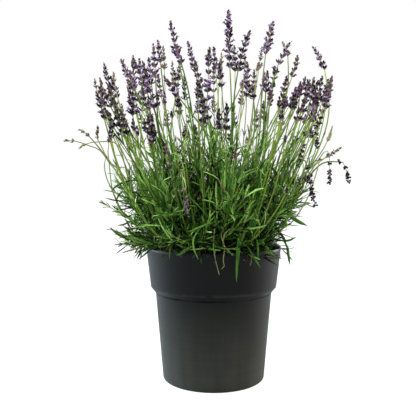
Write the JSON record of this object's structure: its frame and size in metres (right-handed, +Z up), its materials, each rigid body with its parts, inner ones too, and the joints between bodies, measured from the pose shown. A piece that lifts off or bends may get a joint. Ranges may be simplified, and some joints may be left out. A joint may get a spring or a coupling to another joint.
{
  "type": "potted lavender",
  "caption": "Bushy flowering lavender plant with upright and arching flower spikes, growing in soil in a tapered pot with a stepped collar.",
  "frame": {"origin": "centre of the pot's underside", "axes": "+Z up along the pot's axis, -Y towards the front"},
  "size_m": [0.5106, 0.3568, 0.662],
  "materials": {
    "pot_plastic": "satin-matte moulded anthracite plastic",
    "potting_soil": "loose moist peat",
    "bark": "fibrous grey-brown bark",
    "leaf": "matte, slightly downy",
    "flower": "matte"
  },
  "bodies": {
    "root": {"pot": "pot_plastic", "soil": "potting_soil", "woody_crown": "bark", "leafy_shoot_01": "leaf", "leafy_shoot_02": "leaf", "leafy_shoot_03": "leaf", "leafy_shoot_04": "leaf", "leafy_shoot_05": "leaf", "leafy_shoot_06": "leaf", "leafy_shoot_07": "leaf", "leafy_shoot_08": "leaf", "leafy_shoot_09": "leaf", "leafy_shoot_10": "leaf", "leafy_shoot_11": "leaf", "leafy_shoot_12": "leaf", "leafy_shoot_13": "leaf", "leafy_shoot_14": "leaf", "leafy_shoot_15": "leaf", "leafy_shoot_16": "leaf", "flower_stem_01": "flower", "flower_stem_02": "flower", "flower_stem_03": "flower", "flower_stem_04": "flower", "flower_stem_05": "flower", "flower_stem_06": "flower", "flower_stem_07": "flower", "flower_stem_08": "flower", "flower_stem_09": "flower", "flower_stem_10": "flower", "flower_stem_11": "flower", "flower_stem_12": "flower", "flower_stem_13": "flower", "flower_stem_14": "flower", "flower_stem_15": "flower", "flower_stem_16": "flower", "flower_stem_17": "flower", "flower_stem_18": "flower", "flower_stem_19": "flower", "flower_stem_20": "flower", "flower_stem_21": "flower", "flower_stem_22": "flower", "flower_stem_23": "flower", "flower_stem_24": "flower", "flower_stem_25": "flower", "flower_stem_26": "flower", "flower_stem_27": "flower", "flower_stem_28": "flower", "flower_stem_29": "flower", "flower_stem_30": "flower", "flower_stem_31": "flower", "flower_stem_32": "flower", "flower_stem_33": "flower", "flower_stem_34": "flower", "flower_stem_35": "flower", "flower_stem_36": "flower", "flower_stem_37": "flower", "flower_stem_38": "flower", "flower_stem_39": "flower", "flower_stem_40": "flower", "flower_stem_41": "flower"}
  },
  "joints": []
}
